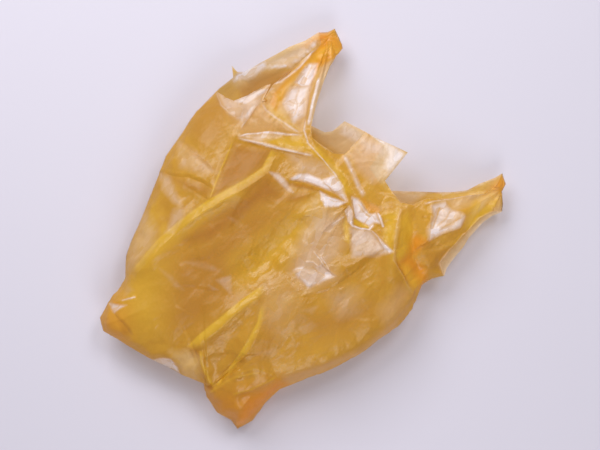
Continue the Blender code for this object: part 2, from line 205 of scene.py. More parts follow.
FRONT_CREASES = (
    (PANEL_CREST, 5, 34, 7.5),
    (PANEL_THREAD, 0.9, 4, 14),
    (PANEL_SHADE, -2, 16, 5),
    (EDGE_SHADE, -2.2, 4, 18),
    (STREAK_CREST, 4.2, 34, 7.5),
    (SHORT_CREST, 2.8, 24, 5),
    (TUCK_LINE, 2.2, 12, 5),
    (LOW_LINE, 1.6, 5, 14),
    (LOW_LINE_TWO, 0.8, 4, 12),
    (TAIL_LINE, 1.8, 10, 5),
    (PLEAT_TOP, 2, 4, 14),
    (PLEAT_BOTTOM, 2.6, 14, 4),
    (HEM_OUTER, 1.2, 10, 4),
    (HEM_INNER, 1.4, 4, 10),
    (MOUTH_CORNER, 3, 5, 18),
    (RIGHT_FOLD, 2.6, 24, 10),
    (SLANT, -4, 26, 22),
    (STRAP_FOLD, 2.2, 8, 3.5),
    (STRAP_GROOVE, -1.6, 4, 4),
    (STRAP_FOOT, 1.2, 6, 10),
    (STRAP_LINE, -1.6, 4, 6),
    (STRAP_EDGE, 1.2, 4, 4),
    (GUSSET_TURN, 1.4, 3, 12),
    (GUSSET_RIM, 1.2, 10, 4),
    (GUSSET_FOLD, 1.6, 10, 4),
    (RIGHT_STRAP_TOP, 1.2, 4, 12),
    (STRAP_TWO, 1.8, 6, 3),
    (STRAP_THREE, 2.6, 3, 12),
    (STRAP_LOW_FOLD, -2.2, 5, 10),
    (CORNER_LINE, -1.4, 4, 10),
    (CORNER_RAY, 1.6, 8, 4),
    (((290, 181), (304, 182), (320, 187), (335, 193), STAR), -4, 6, 6),
    ((STAR, (352, 214), (350, 225)), 2, 5, 4),
    (STAR_RIM, 1.2, 4, 5),
    (STAR_EDGE, 1.8, 3, 6),
    (STAR_TAIL, 2.8, 3, 8),
    ((STAR, (361, 200), (369, 212), (377, 214)), -2.2, 6, 4),
    ((STAR, (345, 240)), -2.8, 5, 7),
    ((STAR, (331, 222), (318, 236)), 2, 6, 6),
    ((STAR, (322, 208), (300, 214)), 1.8, 6, 8),
) + tuple((line, 1, 2.2, 6) for line in VEIL_LINES)
BACK_CREASES = (
    (BACK_STRAP_LINE, 2, 6, 4),
    (BACK_STRAP_DIP, -2.4, 8, 6),
    (RIGHT_STRAP_EDGE, 1, 3, 4),
)
print("creases of the photograph:", len(FRONT_CREASES) + len(BACK_CREASES))

# %% [markdown]
# Two measures are needed again and again: how far points are from a line, and which lie inside an outline.

# %% Measures to lines and outlines
def line_gap(line, places):
    """For every place: distance to a line, side of it (1 is left) and share of the way along it."""
    best = np.full(len(places), np.inf)
    side = np.ones(len(places))
    along = np.zeros(len(places))
    lengths = [np.linalg.norm(np.subtract(b, a)) for a, b in zip(line, line[1:])]
    walked = 0.0
    for start, end, length in zip(line, line[1:], lengths):
        step = np.subtract(end, start)
        away = places - start
        share = np.clip(away @ step / length ** 2, 0.0, 1.0)
        gap = away - share[:, None] * step
        distance = np.hypot(gap[:, 0], gap[:, 1])
        nearer = distance < best
        best = np.where(nearer, distance, best)
        side = np.where(nearer, np.where(step[0] * away[:, 1] > step[1] * away[:, 0], 1.0, -1.0), side)
        along = np.where(nearer, (walked + share * length) / sum(lengths), along)
        walked += length
    return best, side, along


def inside(polygon, places):
    """Which places lie inside a closed outline, and how far each is from it."""
    within = np.zeros(len(places), dtype=bool)
    for a, b in zip(polygon, polygon[1:] + polygon[:1]):
        crosses = (a[1] > places[:, 1]) != (b[1] > places[:, 1])
        edge_x = a[0] + (places[:, 1] - a[1]) * (b[0] - a[0]) / (b[1] - a[1] + 1e-12)
        within ^= crosses & (places[:, 0] < edge_x)
    return within, line_gap(polygon + polygon[:1], places)[0]

# %% [markdown]
# Each triangle of the solid is cut into smaller ones, in three rounds: everywhere, then on the upper side, then
# along the creases, where the film needs the finest mesh. Between the rounds the points away from the free edges
# and the side folds are smoothed, which rounds the folds a little, as film does when it is pressed from inside.

# %% Refine the film
FIRST_CUTS = 3
SMOOTH_STEPS = 3
CREASE_BAND = 0.0014


def cut_edges(edges, cuts):
    """Cuts edges and the triangles beside them, and keeps every face a triangle."""
    bmesh.ops.subdivide_edges(film, edges=edges, cuts=cuts, use_grid_fill=True)
    bmesh.ops.triangulate(film, faces=[f for f in film.faces if len(f.verts) > 3])
    film.normal_update()


def points_held():
    """The points on free edges, side folds and seals, which stay where they are."""
    return {v for e in film.edges if e.seam or e.is_boundary for v in e.verts}


def relax(chosen, steps):
    """Moves points half way to the middle of their neighbours, a number of times."""
    for _ in range(steps):
        bmesh.ops.smooth_vert(film, verts=chosen, factor=0.5, use_axis_x=True, use_axis_y=True, use_axis_z=True)


def relax_between_folds():
    held = points_held()
    relax([v for v in film.verts if v not in held], SMOOTH_STEPS)


cut_edges(film.edges[:], FIRST_CUTS)
relax_between_folds()
cut_edges([e for e in film.edges if any(f.normal.z > 0.0 for f in e.link_faces)], 1)
relax_between_folds()

edges = [e for e in film.edges if not e.is_boundary and not e.seam]
middles = np.array([((e.verts[0].co + e.verts[1].co) / 2)[:2] for e in edges])
upper = np.array([e.link_faces[0].normal.z > 0.0 for e in edges])
by_crease = np.zeros(len(edges), dtype=bool)
for pixels, *_ in FRONT_CREASES + BACK_CREASES:
    by_crease |= line_gap(photo_line(pixels), middles)[0] < CREASE_BAND
cut_edges([e for e, near, up in zip(edges, by_crease, upper) if near and up], 1)
print("refined film:", len(film.faces), "triangles")

# %% [markdown]
# At the left handle the photograph shows the front edge as a fold. So the corner beyond that fold is taken away,
# and the flap beside it is drawn over until it meets the strap. Where film is pulled tight, on the pleat at the
# mouth and beside the long folds, it is plain between its creases, so the facets that the solid has there are
# smoothed away.

# %% Handle corner, tight film and flap
HANDLE_CORNER = GUSSET_TURN + ((264, 92), (268, 86), (247, 72), (232, 60), (212, 88))
PLEAT = ((240, 137), (262, 134), (303, 136), (314, 152), (290, 150), (262, 143))
FOLD_FLANK = ((277, 150), (284, 158), (270, 182), (246, 200), (214, 220), (188, 240), (166, 260), (150, 276),
              (130, 276), (128, 264), (148, 234), (174, 210), (200, 188), (224, 174), (246, 164), (262, 150))
STREAK_FLANK = ((262, 274), (274, 284), (256, 302), (230, 324), (206, 346), (190, 354), (178, 346), (198, 322),
                (226, 296), (248, 280))
LEFT_PANEL = ((196, 112), (230, 104), (238, 126), (228, 158), (214, 178), (186, 152), (186, 128))
TIGHT_FILM = ((PLEAT, 60), (FOLD_FLANK, 60), (STREAK_FLANK, 30), (LEFT_PANEL, 60))
FLAP = ((225, 82), (263.6, 82), (263.6, 104), (250, 112), (225, 125))
FLAP_FROM = (262, 89)
FLAP_TO = (271, 87)
FLAP_REACH = 0.018

front = [f for f in film.faces if f.normal.z > 0.0]
centres = np.array([f.calc_center_median()[:2] for f in front])
in_corner = inside(photo_line(HANDLE_CORNER), centres)[0]
bmesh.ops.delete(film, geom=[f for f, gone in zip(front, in_corner) if gone], context="FACES")

held = points_held()
places = np.array([v.co[:2] for v in film.verts])
for pixels, steps in TIGHT_FILM:
    in_patch = inside(photo_line(pixels), places)[0]
    relax([v for v, soft in zip(film.verts, in_patch) if soft and v not in held and v.normal.z > 0.0], steps)

on_flap = inside(photo_line(FLAP), places)[0]
start, end = from_photo(FLAP_FROM), from_photo(FLAP_TO)
for corner in (v for v, within in zip(film.verts, on_flap) if within and v.normal.z > 0.0):
    share = max(0.0, 1.0 - math.dist(corner.co[:2], start) / FLAP_REACH)
    corner.co.x += (end - start)[0] * share
    corner.co.y += (end - start)[1] * share
print("left for the crumples:", len(film.faces), "triangles,", len(held), "points held")

# %% [markdown]
# Crumpled film is made of flat facets with sharp creases between them, large ones with smaller ones inside. A
# random net of triangles whose corners stand at random heights has that look. The nets are stretched along the bag,
# because the film is pulled that way, between its bottom seal and its handles.

# %% Helpers for facets and creases
STRETCH = 1.7
NET_MARGIN = 0.05
ABOVE_NET = 5.0

film.verts.ensure_lookup_table()
film.normal_update()
points = np.array([v.co[:] for v in film.verts])
normals = np.array([v.normal[:] for v in film.verts])
plan = points[:, :2]
faces_up = normals[:, 2] > 0.0


def facet_net(seed, spacing):
    """Heights from -1 to 1 at every point of the film, flat inside each triangle of a random net."""
    rng = np.random.default_rng(seed)
    low = np.array((bag_low.x, bag_low.y / STRETCH)) - NET_MARGIN
    high = np.array((bag_high.x, bag_high.y / STRETCH)) + NET_MARGIN
    count = int(np.prod(high - low) / spacing ** 2)
    corners = [Vector(corner) for corner in rng.uniform(low, high, (count, 2))]
    corners += [Vector((x, y)) for x in (low[0], high[0]) for y in (low[1], high[1])]
    places, _, faces, *_ = delaunay_2d_cdt(corners, [], [], 0, 1e-7)
    heights = rng.uniform(-1.0, 1.0, len(places))
    net = BVHTree.FromPolygons([(p.x, p.y * STRETCH, h) for p, h in zip(places, heights)], faces)
    down = Vector((0.0, 0.0, -1.0))
    hits = (net.ray_cast(Vector((x, y, ABOVE_NET)), down)[0] for x, y in plan)
    return np.array([hit.z if hit else 0.0 for hit in hits])


def crease(line, height, left_reach, right_reach, fade=0.3):
    """A sharp crest along a line: its height falls away straight on both sides, and towards both ends."""
    distance, side, along = line_gap(line, plan)
    reach = np.where(side > 0.0, left_reach, right_reach)
    ends = np.clip(np.minimum(along, 1.0 - along) / fade, 0.0, 1.0)
    return height * ends * np.clip(1.0 - distance / reach, 0.0, 1.0)


print("points on the film:", len(points), "of which face up:", int(faces_up.sum()))

# %% [markdown]
# Five things change the film's colour from place to place. Where the gussets lie folded inside, four layers are on
# each other and look orange. On a slope that turns away from the light, shade is painted on as brown, and on a
# fold, light is painted on as yellow, for the light that runs inside it. A single layer is paler and clearer. And
# highlights are painted on as whitish patches: along sharp folds, on facets that mirror a lamp and on every edge.
#
# Each is kept as a value on the points of the mesh. The facets with painted highlights are outlined first, because
# some of them are tilted later, to catch a lamp. The dents get small painted glints.

# %% Outlines of painted highlights
STRIP = ((269, 172), (279, 174), (287, 182), (293, 192), (288, 191), (278, 181))
WAVE_LEFT = ((290, 179), (299, 174), (308, 173), (322, 180), (331, 183), (330, 190), (317, 185), (303, 180))
WAVE_RIGHT = ((322, 180), (334, 175), (341, 183), (347, 201), (336, 193), (326, 188))
WEDGE = ((320, 191), (330, 197), (346, 202), (338, 207), (325, 208), (321, 200))
STAR_TOP = ((352, 197), (358, 199), (364, 206), (369, 213), (376, 214), (380, 222), (374, 222), (369, 226),
            (360, 221), (354, 217), (352, 208))
STAR_LOBE = ((345, 211), (349, 206), (352, 211), (352, 219), (352, 226), (348, 222))
STAR_FIELD = ((350, 228), (370, 231), (381, 243), (392, 252), (375, 256), (352, 257), (350, 240))
PALE_FIELD = ((293, 270), (302, 266), (312, 268), (322, 264), (336, 276), (321, 282), (310, 288), (300, 281))
VEIL = ((316, 206), (346, 218), (341, 246), (330, 262), (336, 276), (320, 283), (309, 288), (293, 270), (298, 248),
        (306, 228))
STRAP_HIGH = ((308, 64), (317, 64), (316, 73), (309, 86), (301, 86), (295, 82), (300, 74))
STRAP_LOW = ((291, 88), (309, 87), (306, 102), (303, 115), (294, 122), (289, 112), (284, 103))
GUSSET_BAND = ((234, 102), (247, 96), (261, 89), (273, 88), (262, 95), (246, 104))
GUSSET_LOW = ((257, 103), (250, 107), (243, 117), (247, 119), (252, 112))
RIGHT_HIGH = ((431, 206), (445, 202), (451, 209), (464, 216), (459, 226), (443, 232), (429, 240), (427, 230),
              (434, 216))
SEAL_HIGH = ((152, 360), (160, 358), (170, 360), (176, 367), (180, 378), (170, 374), (160, 367))
SEAL_PALE = ((170, 352), (188, 351), (200, 358), (198, 378), (182, 376), (174, 362))
PANEL_PALE = ((178, 142), (191, 148), (201, 157), (214, 171), (198, 172), (181, 167))
EDGE_PALE = ((160, 173), (169, 177), (177, 196), (182, 206), (173, 202), (162, 189))
SIDE_PALE = ((141, 212), (149, 216), (157, 232), (152, 246), (138, 262), (127, 272), (127, 252), (134, 232))
TAB_HIGH = ((383, 140), (396, 147), (405, 156), (390, 172), (384, 168), (388, 154))
# Small painted glints on the dents.
CLEAR_DENT_GLINTS = (
    ((216, 280), (231, 275), (232, 297), (226, 289)), ((209, 285), (218, 290), (213, 289)),
)
FAINT_DENT_GLINTS = (
    ((183, 275), (193, 270), (188, 275)), ((242, 256), (250, 271), (246, 263)),
    ((232, 337), (239, 331), (236, 337)), ((280, 294), (290, 299), (284, 299)),
    ((184, 262), (206, 262), (222, 272), (206, 270)), ((160, 268), (172, 276), (184, 290), (176, 288)),
    ((300, 310), (318, 306), (312, 314)), ((340, 296), (356, 298), (352, 308), (344, 308)),
    ((262, 352), (274, 348), (280, 352), (270, 356)), ((296, 330), (312, 322), (316, 326), (304, 334)),
    ((228, 217), (240, 221), (238, 226)), ((128, 286), (134, 290), (124, 296)),
    ((330, 222), (338, 216), (334, 226)), ((300, 236), (306, 232), (306, 248)),
    ((316, 252), (327, 262), (322, 262)), ((318, 268), (328, 268), (336, 276), (326, 274)),
    ((300, 268), (310, 262), (308, 270)), ((356, 202), (362, 206), (358, 216)),
    ((360, 214), (370, 214), (366, 222)), ((440, 206), (450, 208), (438, 216)),
    ((438, 218), (456, 216), (440, 224)), ((436, 226), (450, 222), (442, 230)),
)

# %% [markdown]
# A patch is an outline, the width of its soft edge in millimetres and its strength. It lies on the front sheet
# unless its row ends with another side. Several layers lie on each other at the welded tips of the handles, along
# the folded strap, at the corners of the bottom seal and at the mouth's right corner.

# %% Patches of several layers
FRONT = faces_up
BACK = ~faces_up
BOTH = FRONT | BACK
PATCHES = {}
PATCHES["layers"] = (
    (((323, 34), (333, 33), (341, 45), (333, 57), (322, 65), (312, 63), (306, 66), (318, 49)), 5, 0.7, BOTH),
    (((300, 47), (308, 38), (318, 33), (328, 31), (326, 37), (316, 42), (306, 48)), 3, 0.9, BOTH),
    (((497, 180), (506, 178), (508, 184), (503, 192), (492, 204), (484, 205), (488, 190)), 6, 0.75, BOTH),
    (((110, 298), (120, 303), (126, 308), (116, 306)), 2, 0.9),
    (((101, 320), (110, 303), (122, 288), (130, 300), (130, 336), (120, 341), (104, 331)), 14, 0.5),
    (((244, 398), (277, 380), (287, 384), (268, 400), (252, 418), (237, 430), (236, 414)), 8, 1.0, BOTH),
    (((206, 392), (278, 378), (268, 402), (236, 432), (216, 414)), 16, 0.5, BOTH),
    (((402, 221), (408, 221), (416, 234), (428, 241), (418, 251), (412, 257), (426, 270), (428, 280), (420, 294),
      (406, 280), (395, 262), (399, 240)), 5, 1.0),
    (((470, 191), (485, 186), (493, 183), (486, 189), (472, 193)), 3, 0.8),
    (((322, 44), (332, 40), (340, 47), (330, 58), (320, 63), (309, 63), (303, 70), (295, 78), (286, 88),
      (282, 100), (276, 112), (270, 104), (273, 93), (284, 82), (296, 72), (308, 59)), 2.5, 0.85),
    (((316, 62), (319, 64), (315, 76), (311, 82), (310, 78), (314, 70)), 1.5, 0.8),
    (((362, 198), (369, 204), (378, 207), (380, 213), (371, 213), (366, 207)), 2, 0.6),
)

# %% [markdown]
# Painted shade: brown lies beside the long folds and inside the left strap, where the film slopes away from the
# light.

# %% Painted shade
PATCHES["painted_shade"] = (
    (((116, 315), (124, 320), (131, 327), (131, 334), (124, 334), (119, 325)), 3, 1.0),
    (((112, 299), (121, 302), (124, 305), (116, 305)), 2, 0.9),
    (((206, 383), (213, 386), (214, 390), (208, 388)), 2, 1.0),
    (((361, 197), (368, 201), (380, 206), (384, 213), (378, 211), (369, 207)), 3, 0.5),
    (((304, 45), (312, 38), (322, 34), (326, 36), (316, 41), (307, 46)), 2, 1.0, BOTH),
    (((410, 236), (428, 242), (440, 240), (432, 252), (416, 254), (404, 252)), 5, 0.5),
    (((200, 240), (250, 205), (296, 206), (262, 238), (234, 262), (236, 300), (200, 330), (172, 330), (156, 300),
      (166, 262)), 24, 0.7),
    (((234, 143), (250, 146), (274, 149), (264, 166), (245, 179), (226, 190), (213, 198), (221, 171)), 8, 0.9),
    (((266, 172), (284, 188), (282, 200), (262, 206), (240, 222), (214, 244), (188, 246), (184, 238), (208, 221),
      (238, 199)), 14, 1.0),
    (((176, 250), (196, 248), (214, 262), (206, 266), (186, 262)), 10, 0.5),
    (((288, 182), (304, 183), (320, 189), (336, 195), (345, 203), (330, 196), (316, 192), (300, 189),
      (288, 186)), 3, 0.8),
    (((287, 194), (302, 193), (316, 196), (296, 203), (284, 202)), 6, 0.8),
    (((160, 172), (176, 177), (203, 184), (214, 190), (206, 196), (184, 190), (174, 182)), 6, 0.7),
    (((196, 104), (224, 92), (234, 112), (220, 142), (204, 150), (186, 134)), 12, 0.6),
    (((184, 141), (206, 159), (216, 170), (212, 172), (200, 162), (186, 148)), 5, 0.5),
    (((300, 318), (345, 308), (372, 300), (380, 318), (352, 332), (318, 338)), 22, 0.7),
    (((188, 348), (199, 346), (200, 356), (190, 357)), 4, 0.9),
    (((170, 300), (196, 296), (216, 304), (200, 325), (182, 338), (168, 325)), 20, 0.32),
    (((264, 322), (276, 318), (280, 340), (262, 366), (246, 366), (254, 344)), 12, 0.5),
    (((238, 84), (262, 70), (288, 69), (304, 56), (316, 48), (300, 66), (284, 79), (270, 90),
      (240, 98)), 5, 1.0, BACK),
    (((244, 88), (256, 86), (240, 96), (234, 99), (224, 94), (230, 88)), 6, 0.4),
    (((418, 251), (450, 246), (454, 258), (440, 272), (428, 272)), 8, 0.6),
    (((206, 396), (228, 396), (238, 404), (226, 416), (214, 408)), 10, 0.35),
)

# %% [markdown]
# Painted light: yellow lies along the middle of the body and on the straps' folds, where light comes through the
# film.

# %% Painted light
PATCHES["painted_light"] = (
    (((330, 200), (318, 200), (300, 214), (262, 240), (235, 260), (238, 284), (262, 276), (296, 248),
      (312, 222)), 16, 0.6),
    (((306, 206), (316, 204), (308, 222), (300, 236), (293, 246), (296, 228)), 7, 0.6),
    (((316, 146), (312, 152), (326, 165), (336, 178), (346, 195), (352, 192), (344, 174), (331, 158)), 4, 0.8),
    (((322, 46), (334, 42), (338, 50), (324, 58), (312, 62), (302, 71), (292, 81), (284, 92), (280, 104),
      (275, 108), (276, 94), (286, 83), (298, 72), (310, 60)), 4, 0.5),
    (((268, 106), (281, 109), (298, 130), (286, 125), (272, 117)), 5, 0.6),
    (((466, 226), (474, 204), (490, 190), (500, 192), (500, 203), (488, 214), (472, 231)), 6, 1.0),
    (((262, 139), (302, 138), (312, 150), (290, 149), (268, 144)), 6, 0.8),
    (((343, 224), (346, 218), (349, 228), (349, 243), (345, 240)), 2, 0.9),
    (((384, 215), (398, 210), (396, 238), (391, 250), (384, 240), (386, 228)), 4, 0.8),
    (((353, 217), (360, 222), (369, 226), (368, 229), (360, 227), (353, 223)), 1.5, 0.8),
    (((398, 262), (408, 266), (420, 282), (418, 294), (408, 284)), 6, 0.6),
    (((158, 228), (166, 222), (168, 232), (160, 240)), 5, 0.5), (SEAL_PALE, 6, 0.55),
    (((116, 296), (128, 270), (146, 252), (166, 264), (168, 300), (156, 340), (136, 334)), 24, 0.5),
    (((126, 262), (138, 226), (152, 204), (164, 214), (156, 240), (138, 266)), 10, 0.35),
    (((399, 220), (407, 214), (414, 230), (408, 252), (398, 264), (393, 257)), 5, 0.85),
)

# %% [markdown]
# The film is a single layer on the tab, at both ends of the mouth and along the lower right edge.

# %% Pale patches
PATCHES["thin"] = (
    (((312, 128), (345, 118), (368, 132), (358, 150), (346, 154), (320, 142)), 5, 0.8, BACK),
    (((362, 132), (406, 156), (386, 180), (372, 182), (358, 170), (348, 154)), 6, 0.7),
    (((217, 92), (262, 88), (300, 66), (318, 64), (316, 90), (304, 130), (280, 132), (240, 134),
      (228, 114)), 8, 0.4),
    (((390, 190), (424, 194), (412, 204), (400, 204)), 4, 1.0, BACK),
    (((330, 366), (357, 353), (397, 327), (397, 316), (364, 345), (330, 359), (282, 376), (288, 385)), 4, 0.4),
    (((380, 310), (398, 288), (408, 290), (400, 312), (386, 326)), 10, 0.4),
    (((232, 78), (262, 61), (305, 40), (318, 36), (310, 50), (290, 64), (262, 70), (236, 84)), 6, 0.45, BACK),
    (((320, 68), (332, 60), (322, 92), (311, 126), (309, 118), (316, 92)), 2, 0.7),
    (((500, 196), (506, 213), (494, 218), (470, 240), (452, 266), (444, 276), (440, 264), (452, 250), (470, 230),
      (492, 210)), 2, 0.9, BOTH),
)

# %% [markdown]
# Painted highlights come last: the outlines above, some smaller spots beside them, and the glints on the dents.

# %% Painted highlights
PATCHES["painted_highlight"] = (
    (STRIP, 2, 0.75), (WAVE_LEFT, 2, 1.0), (WAVE_RIGHT, 2, 0.85), (WEDGE, 1.5, 1.0), (STAR_TOP, 2, 1.0),
    (STAR_LOBE, 1.5, 0.9), (STAR_FIELD, 3, 0.52), (PALE_FIELD, 3, 0.75), (VEIL, 12, 0.34), (STRAP_HIGH, 2, 0.95),
    (STRAP_LOW, 4, 0.85), (GUSSET_BAND, 1.5, 0.9), (GUSSET_LOW, 2, 0.8), (RIGHT_HIGH, 3, 0.75),
    (SEAL_HIGH, 2, 1.0), (SEAL_PALE, 6, 0.2), (PANEL_PALE, 5, 0.22), (EDGE_PALE, 4, 0.3), (SIDE_PALE, 8, 0.22),
    (((110, 304), (114, 313), (119, 309), (127, 305), (118, 305)), 1.5, 0.7),
    (((480, 196), (496, 188), (500, 198), (488, 206), (474, 212)), 6, 0.25),
    (((174, 210), (182, 206), (184, 215), (173, 232), (167, 232)), 4, 0.3),
    (((218, 94), (234, 102), (262, 92), (262, 101), (244, 122), (228, 113)), 3, 0.45),
    (((240, 136), (262, 134), (280, 136), (262, 142)), 4, 0.55),
    (((428, 228), (442, 226), (438, 233), (429, 240)), 2, 1.0),
    (((378, 238), (382, 240), (392, 251), (390, 253), (384, 248)), 1.5, 1.0),
    (((266, 284), (290, 286), (296, 310), (280, 330), (268, 322), (264, 300)), 16, 0.16),
    (((298, 276), (306, 278), (312, 286), (308, 288)), 2, 1.0),
    (((290, 154), (330, 168), (336, 176), (318, 176), (300, 172)), 8, 0.4),
    (((330, 295), (356, 292), (354, 310), (340, 313)), 14, 0.25),
    (((446, 200), (480, 192), (486, 190), (470, 204), (455, 210)), 6, 0.4), (TAB_HIGH, 4, 0.9),
    (((345, 123), (362, 133), (362, 141), (340, 133)), 3, 0.6, BACK),
    (((360, 138), (384, 142), (388, 156), (366, 152)), 6, 0.45),
    (((233, 80), (239, 70), (256, 64), (264, 60), (266, 67), (250, 77)), 2, 1.0, BACK),
    (((264, 62), (300, 46), (316, 40), (302, 56), (288, 64)), 4, 0.35, BACK),
) + tuple((dent_glint, 2, 0.22) for dent_glint in CLEAR_DENT_GLINTS)
PATCHES["painted_highlight"] += tuple((dent_glint, 2.6, 0.11) for dent_glint in FAINT_DENT_GLINTS)
print("patches:", {name: len(rows) for name, rows in PATCHES.items()})

# %% [markdown]
# A streak fades out from a line, by one reach on its left and one on its right, and has a strength. The gaps are
# thin lines where the painted highlight is taken away again, so that one facet ends before the next begins.

# %% Streaks
STREAKS = {}
# Painted light along the long folds and the lines near the bottom.
STREAKS["painted_light"] = (
    (PANEL_FOLD[:4], 9, 2.2, 0.85), (PANEL_FOLD[2:], 22, 2.2, 0.95), (STREAK_LONG, 12, 2, 1.3),
    (STREAK_SHORT, 6, 2, 1.0), (PANEL_THREAD, 1.6, 1.6, 0.8), (TUCK_LINE, 3, 1.6, 0.9), (LOW_LINE, 3, 2, 0.6),
    (LOW_LINE_TWO, 3, 2, 0.2), (TAIL_LINE, 2, 2, 0.4), (MOUTH_CORNER, 2, 3, 0.45),
)
# Painted shade along the strap's grooves and beside the star.
STREAKS["painted_shade"] = (
    (STRAP_GROOVE, 3, 2.2, 1.1), (STRAP_LINE, 2.4, 2, 0.9), (((330, 198), (340, 204), (349, 206)), 1.6, 1.6, 0.8),
)
STREAKS["gap"] = (
    (((353, 218), (360, 223), (369, 227)), 2.4, 2.4, 1.0), (((352, 199), (353, 208), (353, 216)), 1.6, 1.6, 0.9),
    (((358, 203), (364, 212), (371, 218)), 1.4, 2, 0.6), (((370, 216), (366, 221), (364, 224)), 1.4, 1.4, 0.7),
    (((304, 180), (318, 186), (330, 192)), 2, 2, 0.6), (((322, 182), (328, 186), (334, 192)), 1.4, 1.4, 0.7),
    (((328, 199), (334, 202), (344, 202)), 1.2, 1.2, 0.5), (((312, 66), (307, 76), (304, 84)), 1.4, 1.4, 0.5),
    (((300, 88), (296, 98), (297, 108), (294, 118)), 1.6, 2.2, 0.6),
    (((288, 100), (295, 104), (304, 104)), 1.4, 2, 0.5), (((440, 206), (437, 217), (431, 230)), 1.8, 1.8, 0.7),
    (((451, 210), (446, 219), (436, 226)), 1.4, 2, 0.6), (((462, 217), (452, 222), (440, 228)), 1.4, 2, 0.6),
    (((312, 266), (318, 272), (326, 276)), 1.4, 2, 0.5),
)
# Painted highlights along the pleat, hem, strap folds, star rims and tab.
STREAKS["painted_highlight"] = (
    (PLEAT_TOP, 2.2, 2.6, 1.0), (PLEAT_BOTTOM, 2.6, 2, 1.0), (HEM_OUTER, 1.8, 1.8, 0.7),
    (HEM_INNER, 4.8, 4, 0.65), (STRAP_EDGE, 2.6, 2.6, 1.4), (STRAP_FOLD, 1.8, 3, 0.75),
    (STRAP_FOOT, 2.2, 2.2, 0.5), (GUSSET_TURN, 1.8, 1.8, 0.8), (GUSSET_RIM, 1.6, 1.6, 0.4),
    (GUSSET_FOLD, 1.6, 1.6, 0.5), (MOUTH_CORNER, 2.8, 1.4, 0.14), (CORNER_RAY[1:], 1.5, 1.5, 0.9),
    (CORNER_LINE[:2], 1.6, 1.6, 0.25), (RIGHT_STRAP_TOP, 1.8, 1.8, 0.5), (STRAP_TWO, 1.6, 1.6, 0.4),
    (STAR_RIM, 2, 2, 1.1), (STAR_TAIL, 2, 2, 0.6), (STAR_EDGE, 1.8, 1.8, 1.4), (BACK_STRAP_LINE, 3, 3, 1.1, BACK),
    (RIGHT_STRAP_EDGE, 3, 3, 0.8, BACK), (((366, 132), (384, 143), (405, 157)), 2.2, 2.2, 0.9),
    (((405, 157), (396, 166), (385, 177)), 1.8, 1.8, 0.5),
) + tuple((line, 1.6, 1.6, 0.7) for line in VEIL_LINES)
print("streaks:", {name: len(rows) for name, rows in STREAKS.items()})

# %% [markdown]
# Free edges, side folds and seals get a painted highlight all along. Then every patch and streak is laid on the
# points, and where two of one tone meet, the stronger one counts.

# %% Tones on the film
FOLD_HIGHLIGHT = 0.42
RIM_HIGHLIGHT = 0.28
STREAK_FADE = 0.1

on_fold = np.zeros(len(points), dtype=bool)
on_fold[[v.index for v in held]] = True
on_seam = np.zeros(len(points), dtype=bool)
on_seam[[v.index for e in film.edges if e.seam for v in e.verts]] = True
# A painted highlight on every seam and free edge.
tones = {"painted_highlight": np.where(on_seam, FOLD_HIGHLIGHT, RIM_HIGHLIGHT * on_fold)}


def lay(name, value, side):
    """Lays a value on one side of the film, where it is stronger than what lies there."""
    tones[name] = np.maximum(tones.get(name, 0.0), value * (side[0] if side else FRONT))


for name, rows in PATCHES.items():
    for pixels, softness, strength, *side in rows:
        within, distance = inside(photo_line(pixels), plan)
        level = 0.5 + np.where(within, 0.5, -0.5) * distance / (softness / MM_PER_M)
        lay(name, strength * np.clip(level, 0.0, 1.0), side)
for name, rows in STREAKS.items():
    for pixels, left_reach, right_reach, strength, *side in rows:
        value = crease(photo_line(pixels), strength, left_reach / MM_PER_M, right_reach / MM_PER_M, STREAK_FADE)
        lay(name, np.minimum(value, 1.0), side)
tones["painted_highlight"] *= 1.0 - tones.pop("gap")
print("tones, share of the points:", {name: round(float((v > 0.5).mean()), 3) for name, v in tones.items()})

# %% [markdown]
# Now the film is crumpled in layers: broad dents, facets, and single creases in random places. The film is calm
# over the left of the body, where it is pulled smooth, and busy near the places where it is gathered or was
# squeezed.

# %% Broad dents and facets
BUSY = (((349, 206), 0.110), ((285, 105), 0.085), ((440, 235), 0.090), ((215, 372), 0.085), ((115, 320), 0.060),
        ((315, 262), 0.060), ((375, 290), 0.080), ((245, 268), 0.050), ((220, 282), 0.045), ((330, 60), 0.06))
BUSY_GAIN = 1.5
CALM_SHARE = 0.60
BROAD_NETS = ((101, 0.052, 0.0036), (102, 0.026, 0.0021))
SPOT = 0.0001


def near_pixel(pixel, reach):
    """From 1 at a pixel's place on the bag to 0 at a reach from it, in metres."""
    place = from_photo(pixel)
    return np.clip(1.0 - line_gap([place, place + SPOT], plan)[0] / reach, 0.0, 1.0)


busy = np.maximum.reduce([near_pixel(pixel, reach) for pixel, reach in BUSY])
busy = CALM_SHARE + (1.0 - CALM_SHARE) * np.minimum(1.0, BUSY_GAIN * busy)
crumple = sum(height * facet_net(seed, spacing) for seed, spacing, height in BROAD_NETS)
print("mean busyness:", round(float(busy.mean()), 2))

# %% [markdown]
# The random creases run mostly along the bag, as its pull does. Of the two sets, one has long creases with a small
# bend, the other short, fine ones. A set gives how many there are, how far they turn from lengthwise in radians,
# and in metres half their length, bend, steep slope, long slope and height.

# %% Random creases
RANDOM_CREASES = (
    (110, 0.7, (0.012, 0.050), 0.004, (0.003, 0.006), (0.010, 0.024), (0.0008, 0.0020)),
    (260, 0.8, (0.004, 0.022), None, (0.0018, 0.0030), (0.004, 0.010), (0.0003, 0.0008)),
)
CREASE_SEED = 7
LENGTHWISE = math.radians(90.0)
rng = np.random.default_rng(CREASE_SEED)


